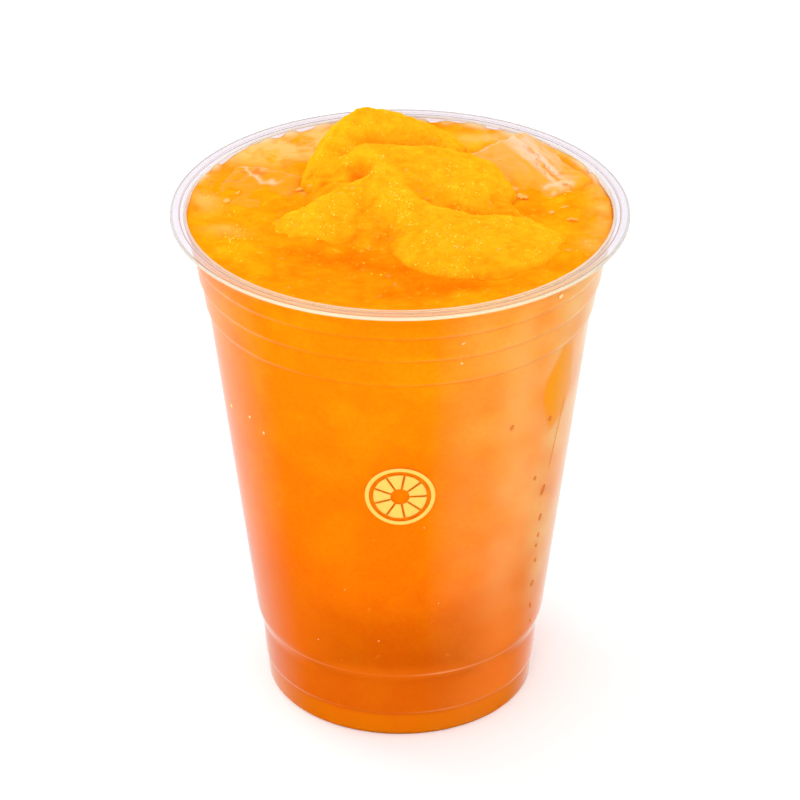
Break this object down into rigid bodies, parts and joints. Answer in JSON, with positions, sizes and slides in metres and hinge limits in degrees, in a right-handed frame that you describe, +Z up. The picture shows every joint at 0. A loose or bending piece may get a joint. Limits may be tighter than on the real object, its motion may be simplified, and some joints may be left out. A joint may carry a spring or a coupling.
{
  "type": "iced tangerine jasmine tea in a cup",
  "caption": "Iced tangerine tea in a clear tapered cup with stacking ribs and a rolled rim, topped with a swirled heap of tangerine slush beside floating ice cubes.",
  "frame": {"origin": "middle of the cup's base, on the surface that it stands on", "axes": "+Z up along the cup's axis, -Y towards the front that the printed motif is on, +X to the right as seen from the front"},
  "size_m": [0.098, 0.098, 0.1241],
  "materials": {
    "clear_cup": "clear glossy thin plastic with a pale printed motif on the front",
    "tea": "cloudy orange drink, wet and glossy, paler and yellower at the top",
    "slush": "wet yellow-orange crushed fruit ice with fine sparkling grains",
    "ice": "clear ice wetted with orange drink, with pale cracks"
  },
  "bodies": {
    "root": {"cup": "clear_cup", "tea": "tea", "tangerine_slush": "slush", "ice_cube_back_right": "ice", "ice_cube_back_left": "ice"}
  },
  "joints": []
}
